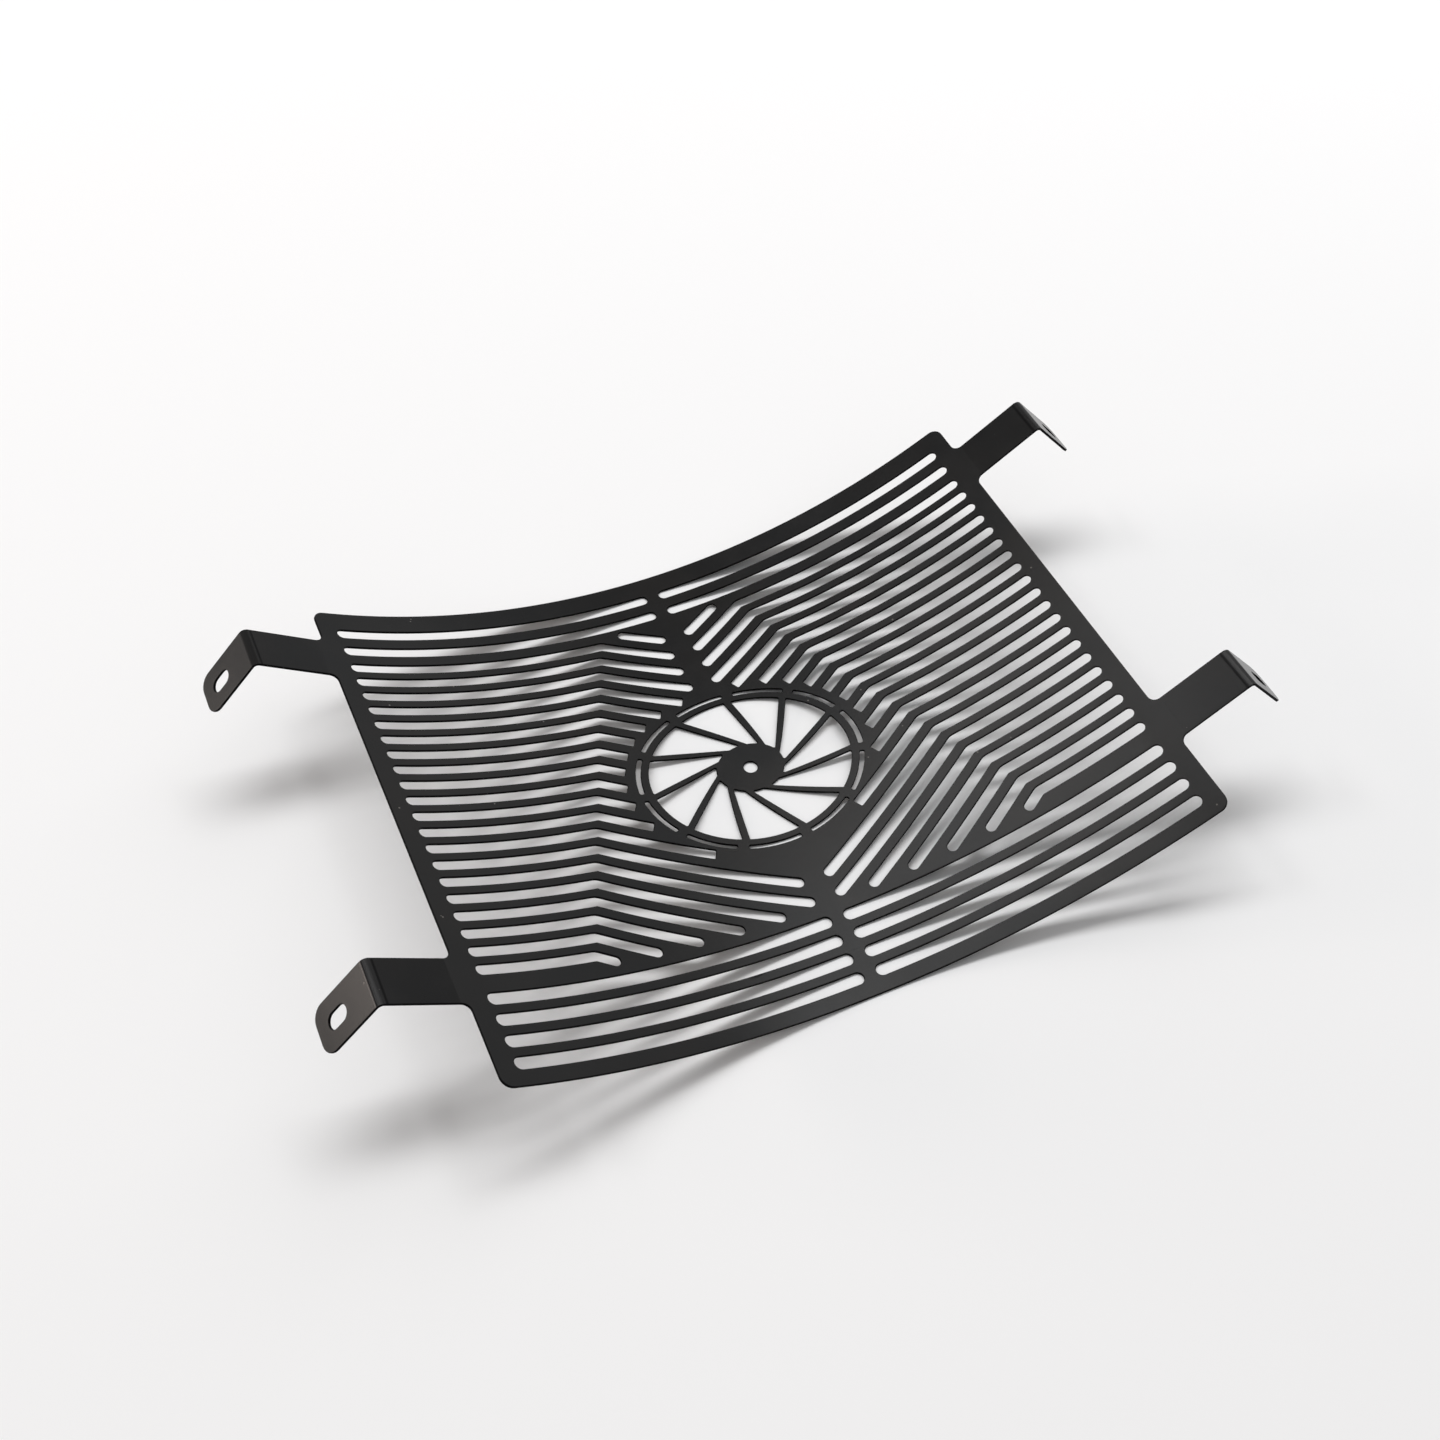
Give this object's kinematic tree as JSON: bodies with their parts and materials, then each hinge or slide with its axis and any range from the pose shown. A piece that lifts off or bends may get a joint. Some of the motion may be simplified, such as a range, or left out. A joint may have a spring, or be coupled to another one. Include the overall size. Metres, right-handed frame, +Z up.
{
  "type": "motorcycle radiator guard",
  "caption": "Curved sheet-metal guard with rows of bent slots and a round vaned centre that shields a motorcycle radiator, held by folded tabs with slotted flanges.",
  "frame": {"origin": "on the floor, under the middle of the guard as it lies on the back of its curved belly", "axes": "+X across the guard to the right of someone who faces its hollow front with the lower edge nearest, +Y from the lower edge to the upper edge, +Z up, out of the hollow front"},
  "size_m": [0.3466, 0.2036, 0.054],
  "materials": {
    "powder_coat": "satin black powder coat on steel sheet"
  },
  "bodies": {
    "root": {"radiator_guard": "powder_coat"}
  },
  "joints": []
}
